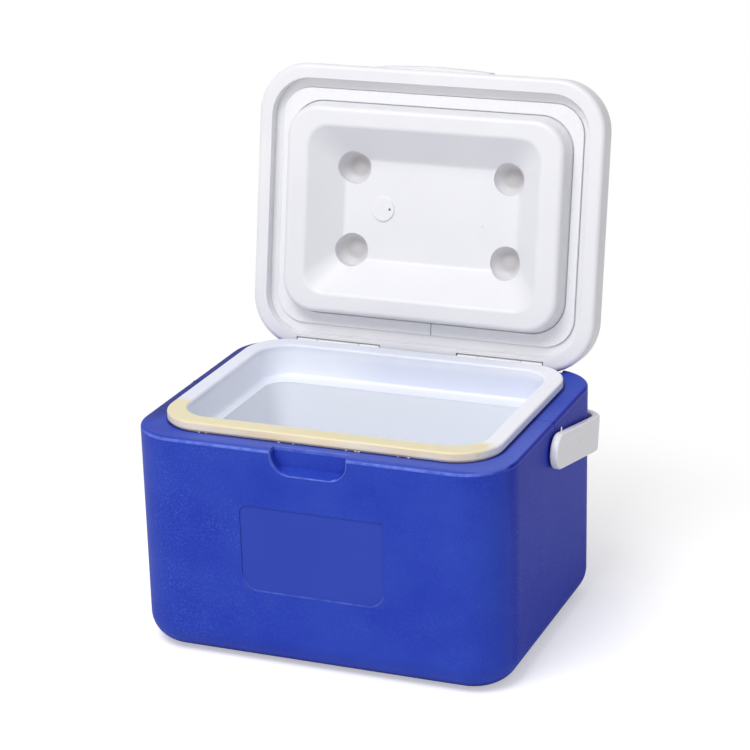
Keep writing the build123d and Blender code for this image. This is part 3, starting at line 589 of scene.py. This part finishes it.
def buildSeam(look=seam):
    sizes = {"ridgeRadius": look["ridgeRadius"]}
    tree, given = startTree("partingRidge", sizes)
    line = addNode(tree, "GeometryNodeMeshToCurve", None, {"Mesh": given["Geometry"]})
    profile = addNode(tree, "GeometryNodeCurvePrimitiveCircle", {"Resolution": look["ridgeSides"]},
                      {"Radius": given["ridgeRadius"]})
    ridge = addNode(tree, "GeometryNodeCurveToMesh", {"Fill Caps": True},
                    {"Curve": line.outputs[0], "Profile Curve": profile.outputs[0]})
    endTree(tree, ridge.outputs[0], blue)
    brow = look["brow"]
    run = [(look["flangeFrom"], look["top"])]
    for step in range(look["browSteps"] + 1):
        turn = math.radians(90 * step / look["browSteps"])
        run.append((look["wall"] - brow + brow * math.sin(turn), look["top"] - brow + brow * math.cos(turn)))
    run.append((look["wall"], look["downTo"]))
    paths = [[(side * x * mm, look["y"] * mm, z * mm) for x, z in run] for side in (-1, 1)]
    growAlong("partingRidge", paths, tree, sizes, "body")


# Crumbs of foam that squeezed out under the front of the rim while the body was filled. What begins
# with crumb goes into the tree, in metres.
crumbs = {"halfX": 120.0, "front": -130.4, "level": 225.5, "crumbCount": 60, "crumbShare": 0.14,
          "crumbRadius": 0.0006, "crumbSpread": 0.0005, "crumbSeed": 11, "furthest": (3, 1, 0.4),
          "smallest": (0.7, 0.7, 0.6), "largest": (2.4, 1.3, 1.3)}


def buildCrumbs(look=crumbs):
    sizes = {name: value for name, value in look.items() if name.startswith("crumb")}
    tree, given = startTree("foamCrumbs", sizes)
    edge = addNode(tree, "GeometryNodeMeshToCurve", None, {"Mesh": given["Geometry"]})
    spots = addNode(tree, "GeometryNodeResampleCurve", None,
                    {"Curve": edge.outputs[0], "Count": given["crumbCount"]})
    chosen = addNode(tree, "FunctionNodeRandomValue", {"data_type": "BOOLEAN"},
                     {"Probability": given["crumbShare"], "Seed": given["crumbSeed"]})
    furthest = Vector(look["furthest"])
    ends = [addNode(tree, "ShaderNodeVectorMath", {"operation": "SCALE", 0: way * furthest},
                    {"Scale": given["crumbSpread"]}).outputs[0] for way in (-1, 1)]
    shift = addNode(tree, "FunctionNodeRandomValue", {"data_type": "FLOAT_VECTOR"},
                    {0: ends[0], 1: ends[1], "Seed": given["crumbSeed"]})
    moved = addNode(tree, "GeometryNodeSetPosition", None,
                    {"Geometry": spots.outputs[0], "Offset": shift.outputs[0]})
    crumb = addNode(tree, "GeometryNodeMeshIcoSphere", {"Subdivisions": 2}, {"Radius": given["crumbRadius"]})
    size = addNode(tree, "FunctionNodeRandomValue",
                   {"data_type": "FLOAT_VECTOR", 0: look["smallest"], 1: look["largest"]},
                   {"Seed": given["crumbSeed"]})
    placed = addNode(tree, "GeometryNodeInstanceOnPoints", None,
                     {"Points": moved.outputs[0], "Selection": chosen.outputs[3],
                      "Instance": crumb.outputs[0], "Scale": size.outputs[0]})
    endTree(tree, placed.outputs[0], foam)
    path = [(side * look["halfX"] * mm, look["front"] * mm, look["level"] * mm) for side in (-1, 1)]
    growAlong("foamCrumbs", [path], tree, sizes, "body")


# Where the plastic ran in: a nib left on the right arm, and a small ringed mark in the lid's dish.
# Sizes and places are in mm; the mark's place is the one in the shut lid.
gates = {"restDegrees": 11.5, "nibPlace": (192.6, 15.8, 211.9),
         "nib": ((0.9, -0.8), (0.85, 0.3), (0.75, 2.4), (0.7, 3.2), (0.45, 3.6), (0, 3.7)),
         "markPlace": (56.0, 6.5, 246.3),
         "mark": ((1.9, -0.3), (1.9, 0.1), (1.6, 0.25), (1.3, 0.1), (0.8, 0.1), (0.55, 0.5), (0, 0.55))}


def buildGates(look=gates):
    lean = math.radians(look["restDegrees"])
    turnedPiece("handleNib", look["nib"], Vector(look["nibPlace"]) * mm, (0, math.sin(lean), math.cos(lean)),
                handleWhite, "handle")
    place = lidTurn @ (Vector(look["markPlace"]) * mm)
    facing = lidTurn.to_3x3() @ Vector((0, 0, -1))
    turnedPiece("lidGateMark", look["mark"], place, facing, white, "lid")


buildSeam()
buildCrumbs()
buildGates()
print("Parting ridge, foam crumbs and gate marks added")


# The studio: a pale floor that fades to white and two softboxes, in metres and watts.
softboxes = {
    "keySoftbox": {"place": (-0.35, -1.6, 2.75), "target": (0, 0, 0.25), "size": (1.6, 1.3), "watts": 53},
    "frontSoftbox": {"place": (0.2, -3.2, 1.2), "target": (0, 0, 0.2), "size": (2.4, 2.0), "watts": 14}}


def buildSoftboxes(looks=softboxes):
    for name, look in looks.items():
        lamp = bpy.data.lights.new(name, "AREA")
        lamp.shape = "RECTANGLE"
        lamp.size, lamp.size_y = look["size"]
        lamp.energy = look["watts"]
        holder = bpy.data.objects.new(name, lamp)
        bpy.context.scene.collection.objects.link(holder)
        holder.location = look["place"]
        aim = Vector(look["target"]) - Vector(look["place"])
        holder.rotation_euler = aim.to_track_quat("-Z", "Y").to_euler()


studio = {"floorHalf": 12.0, "floorColour": "f4f4f5", "floorRoughness": 0.9, "floorSpecular": 0.1,
          "floorLift": 0.4, "fadeNear": 0.25, "fadeFar": 0.6, "ambient": 0.4}


def showsWhite(tree, rays):
    # the rays that meet the plain white backdrop: those of the camera, glossy and transmission rays
    seen = rays["Is Camera Ray"]
    for kind in ("Is Glossy Ray", "Is Transmission Ray"):
        seen = addNode(tree, "ShaderNodeMath", {"operation": "MAXIMUM"}, {0: seen, 1: rays[kind]}).outputs[0]
    return seen


def buildFloor(look=studio):
    mesh = bpy.data.meshes.new("studioFloor")
    half = look["floorHalf"]
    corners = [(-half, -half, 0), (half, -half, 0), (half, half, 0), (-half, half, 0)]
    mesh.from_pydata(corners, [], [(0, 1, 2, 3)])
    floor = bpy.data.objects.new("studioFloor", mesh)
    bpy.context.scene.collection.objects.link(floor)
    material = bpy.data.materials.new("studioFloor")
    material.use_nodes = True
    tree = material.node_tree
    shader = tree.nodes["Principled BSDF"]
    shader.inputs["Base Color"].default_value = linearColour(look["floorColour"])
    shader.inputs["Roughness"].default_value = look["floorRoughness"]
    shader.inputs["Specular IOR Level"].default_value = look["floorSpecular"]
    place = addNode(tree, "ShaderNodeTexCoord").outputs["Object"]
    distance = addNode(tree, "ShaderNodeVectorMath", {"operation": "LENGTH"}, {0: place}).outputs["Value"]
    away = addNode(tree, "ShaderNodeMapRange", {1: look["fadeNear"], 2: look["fadeFar"]},
                   {0: distance}).outputs[0]
    rays = addNode(tree, "ShaderNodeLightPath").outputs
    blank = addNode(tree, "ShaderNodeMath", {"operation": "MULTIPLY"},
                    {0: showsWhite(tree, rays), 1: away}).outputs[0]
    lift = addNode(tree, "ShaderNodeMath", {"operation": "MULTIPLY", 1: look["floorLift"]},
                   {0: rays["Is Camera Ray"]}).outputs[0]
    glow = addNode(tree, "ShaderNodeEmission", None, {"Strength": lift})
    near = addNode(tree, "ShaderNodeAddShader", None, {0: shader.outputs[0], 1: glow.outputs[0]})
    far = addNode(tree, "ShaderNodeEmission", {"Strength": 1.0})
    both = addNode(tree, "ShaderNodeMixShader", None, {0: blank, 1: near.outputs[0], 2: far.outputs[0]})
    tree.links.new(both.outputs[0], tree.nodes["Material Output"].inputs["Surface"])
    mesh.materials.append(material)


def buildWorld(look=studio):
    world = bpy.data.worlds.new("studioWorld")
    bpy.context.scene.world = world
    world.use_nodes = True
    tree = world.node_tree
    background = tree.nodes["Background"]
    background.inputs["Color"].default_value = (1, 1, 1, 1)
    rays = addNode(tree, "ShaderNodeLightPath").outputs
    strength = addNode(tree, "ShaderNodeMapRange", {3: look["ambient"], 4: 1.0},
                       {0: showsWhite(tree, rays)}).outputs[0]
    tree.links.new(strength, background.inputs["Strength"])


# The view: angles in degrees, the place in metres, and the lens from a focal length in pixels.
view = {"azimuth": 22.17, "elevation": 19.32, "roll": -1.38, "focalPixels": 2549.3, "framePixels": 750,
        "sensorMm": 36.0, "place": (0.88841, -2.15963, 1.07098)}


def buildCamera(look=view):
    azimuth, elevation, roll = (math.radians(look[k]) for k in ("azimuth", "elevation", "roll"))
    back = Vector((math.sin(azimuth) * math.cos(elevation), -math.cos(azimuth) * math.cos(elevation),
                   math.sin(elevation)))
    right = (-back).cross(Vector((0, 0, 1))).normalized()
    up = right.cross(-back)
    rolledRight = right * math.cos(roll) + up * math.sin(roll)
    rolledUp = up * math.cos(roll) - right * math.sin(roll)
    data = bpy.data.cameras.new("camera")
    data.sensor_width = look["sensorMm"]
    data.lens = look["sensorMm"] * look["focalPixels"] / look["framePixels"]
    camera = bpy.data.objects.new("camera", data)
    bpy.context.scene.collection.objects.link(camera)
    turn = Matrix((rolledRight, rolledUp, back)).transposed().to_4x4()
    camera.matrix_world = Matrix.Translation(look["place"]) @ turn
    bpy.context.scene.camera = camera


buildFloor()
buildWorld()
buildSoftboxes()
buildCamera()
bpy.context.scene.view_settings.view_transform = "Standard"
print("Studio and camera ready")
